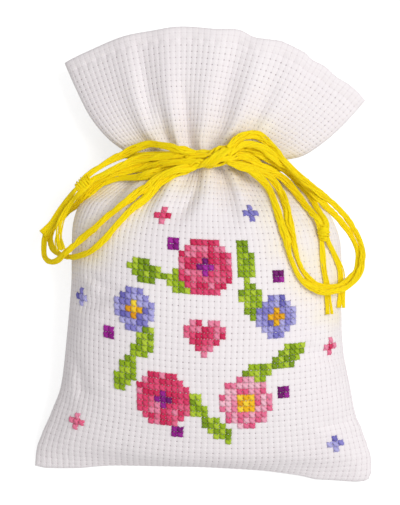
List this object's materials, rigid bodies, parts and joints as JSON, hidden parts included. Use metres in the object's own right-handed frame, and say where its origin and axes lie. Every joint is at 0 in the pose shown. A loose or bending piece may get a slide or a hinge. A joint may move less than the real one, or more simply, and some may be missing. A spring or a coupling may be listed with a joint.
{
  "type": "potpourri sachet",
  "caption": "Stuffed white even-weave cloth sachet with an embroidered front, a gathered neck tied in a yellow floss bow and a pleated frill, lying on its back.",
  "frame": {"origin": "on the surface that the sachet lies on, under the middle of the bag's own box", "axes": "+X across the sachet, +Y from its bottom seam to the frill, +Z out of its embroidered front"},
  "size_m": [0.0806, 0.1072, 0.0275],
  "materials": {
    "cotton_cloth": "matte even-weave cotton",
    "sewing_cotton": "matte sewing thread",
    "dried_flowers": "dried petals and buds",
    "yellow_floss": "soft sheen of stranded cotton",
    "rose_cotton": "soft sheen of stranded cotton",
    "pale_rose_cotton": "soft sheen of stranded cotton",
    "plum_cotton": "soft sheen of stranded cotton",
    "lavender_cotton": "soft sheen of stranded cotton",
    "gold_cotton": "soft sheen of stranded cotton",
    "lime_cotton": "soft sheen of stranded cotton"
  },
  "bodies": {
    "bag": {"front_panel": "cotton_cloth", "back_panel": "cotton_cloth", "left_seam_thread": "sewing_cotton", "right_seam_thread": "sewing_cotton", "bottom_seam_thread": "sewing_cotton", "front_hem_thread": "sewing_cotton", "back_hem_thread": "sewing_cotton", "potpourri_filling": "dried_flowers", "leaf_spray_1": "lime_cotton", "leaf_spray_2": "lime_cotton", "leaf_spray_3": "lime_cotton", "leaf_spray_4": "lime_cotton", "leaf_spray_5": "lime_cotton", "blossom_1_petals": "rose_cotton", "blossom_2_petals": "lavender_cotton", "blossom_3_petals": "pale_rose_cotton", "blossom_4_petals": "rose_cotton", "blossom_5_petals": "lavender_cotton", "blossom_1_heart": "plum_cotton", "blossom_2_heart": "gold_cotton", "blossom_3_heart": "gold_cotton", "blossom_4_heart": "plum_cotton", "blossom_5_heart": "gold_cotton", "wreath_heart": "rose_cotton", "berry_1": "plum_cotton", "berry_2": "plum_cotton", "berry_3": "plum_cotton", "berry_4": "plum_cotton", "berry_5": "plum_cotton", "bud_1": "rose_cotton", "bud_2": "lavender_cotton", "bud_3": "rose_cotton", "bud_4": "lavender_cotton", "bud_5": "rose_cotton", "bud_6": "lavender_cotton", "neck_winding_upper": "yellow_floss", "neck_winding_lower": "yellow_floss", "bow_knot": "yellow_floss"},
    "left_loop": {"left_loop_inner": "yellow_floss", "left_loop_outer": "yellow_floss"},
    "left_tail": {"left_tail_lower": "yellow_floss", "left_tail_upper": "yellow_floss", "left_tail_knot": "yellow_floss", "left_end_long": "yellow_floss", "left_end_short": "yellow_floss"},
    "right_tail": {"right_tail_lower": "yellow_floss", "right_tail_upper": "yellow_floss", "right_tail_knot": "yellow_floss", "right_end_short": "yellow_floss", "right_end_long": "yellow_floss"},
    "right_loop": {"right_loop_inner": "yellow_floss", "right_loop_outer": "yellow_floss"}
  },
  "joints": [
    {"name": "left_loop_lift", "type": "hinge", "parent": "bag", "child": "left_loop", "pos_m": [-0.0012, 0.0232, 0.0214], "axis": [0, 1, 0], "range_deg": [0, 60]},
    {"name": "left_tail_lift", "type": "hinge", "parent": "left_loop", "child": "left_tail", "pos_m": [-0.0012, 0.0232, 0.0214], "axis": [0, 1, 0], "range_deg": [0, 35]},
    {"name": "right_tail_lift", "type": "hinge", "parent": "bag", "child": "right_tail", "pos_m": [0.0056, 0.0235, 0.0214], "axis": [0, -1, 0], "range_deg": [0, 60]},
    {"name": "right_loop_lift", "type": "hinge", "parent": "right_tail", "child": "right_loop", "pos_m": [0.0056, 0.0235, 0.0214], "axis": [0, -1, 0], "range_deg": [0, 35]}
  ]
}
